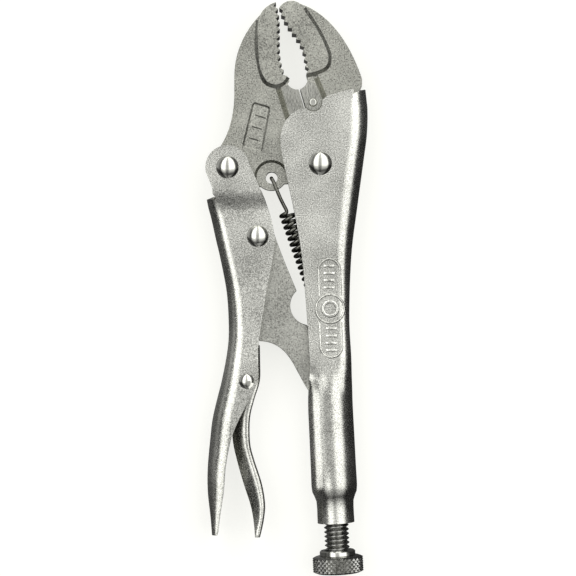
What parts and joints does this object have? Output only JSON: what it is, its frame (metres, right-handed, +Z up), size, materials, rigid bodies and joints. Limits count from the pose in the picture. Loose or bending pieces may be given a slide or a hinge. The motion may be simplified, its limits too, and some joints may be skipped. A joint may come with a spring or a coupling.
{
  "type": "locking pliers",
  "caption": "Curved-jaw locking pliers with wire cutter, folded steel handles, over-centre link, release lever and knurled adjusting screw, lying flat.",
  "frame": {"origin": "on the floor under the middle of the outline, with the tool lying flat on its side, jaws closed and locked", "axes": "+Y along the tool towards the jaws, +X towards the back of the fixed handle, +Z up through the rivets"},
  "size_m": [0.0517, 0.1828, 0.0163],
  "materials": {
    "plated_sheet": "satin nickel plate over blasted sheet steel",
    "forged_jaw": "satin plated forging, faces ground",
    "cutter": "hardened, ground",
    "rivet": "polished dome",
    "stamped_link": "matt plated",
    "spring_wire": "dark drawn wire",
    "screw": "plated, knurled"
  },
  "bodies": {
    "fixed_handle": {"fixed_handle": "plated_sheet", "fixed_jaw": "forged_jaw", "fixed_cutter_blade": "cutter", "fixed_cutter_pin": "rivet", "jaw_pivot_rivet": "rivet", "tension_spring": "spring_wire"},
    "movable_jaw": {"movable_jaw": "forged_jaw", "movable_cutter_blade": "cutter", "movable_cutter_pin": "rivet"},
    "movable_handle": {"movable_handle": "plated_sheet", "handle_pivot_rivet": "rivet", "link_pivot_rivet": "rivet", "lever_pivot_rivet": "rivet"},
    "toggle_link": {"toggle_link": "stamped_link"},
    "release_lever": {"release_lever": "plated_sheet"},
    "screw_collar": {"screw_collar": "screw"},
    "adjusting_screw": {"adjusting_screw": "screw", "adjusting_knob": "screw"}
  },
  "joints": [
    {"name": "handle_swing", "type": "hinge", "parent": "movable_jaw", "child": "movable_handle", "pos_m": [-0.0186, 0.0382, 0.00815], "axis": [0, 0, -1], "range_deg": [0, 74.66]},
    {"name": "jaw_swing", "type": "hinge", "parent": "fixed_handle", "child": "movable_jaw", "pos_m": [0.0109, 0.0394, 0.00815], "axis": [0, 0, 1], "range_deg": [0, 24.02], "deforming": ["tension_spring"]},
    {"name": "link_swing", "type": "hinge", "parent": "movable_handle", "child": "toggle_link", "pos_m": [-0.009, 0.0163, 0.00815], "axis": [0, 0, 1], "range_deg": [0, 70.75]},
    {"name": "lever_squeeze", "type": "hinge", "parent": "movable_handle", "child": "release_lever", "pos_m": [-0.0125, -0.0298, 0.00815], "axis": [0, 0, -1], "range_deg": [0, 12]},
    {"name": "screw_travel", "type": "slide", "parent": "fixed_handle", "child": "screw_collar", "axis": [0.048, -0.9988, 0], "range_m": [0, 0.018]},
    {"name": "screw_turn", "type": "hinge", "parent": "screw_collar", "child": "adjusting_screw", "pos_m": [0.01414, -0.036, 0.00815], "axis": [0.048, -0.9988, 0], "range_deg": [0, 4593]}
  ],
  "couplings": [
    {"joint": "jaw_swing", "follows": "handle_swing", "ratio": 0.32146},
    {"joint": "link_swing", "follows": "handle_swing", "ratio": 0.9471},
    {"joint": "screw_turn", "follows": "screw_travel", "rad_per_m": 4452.7}
  ]
}
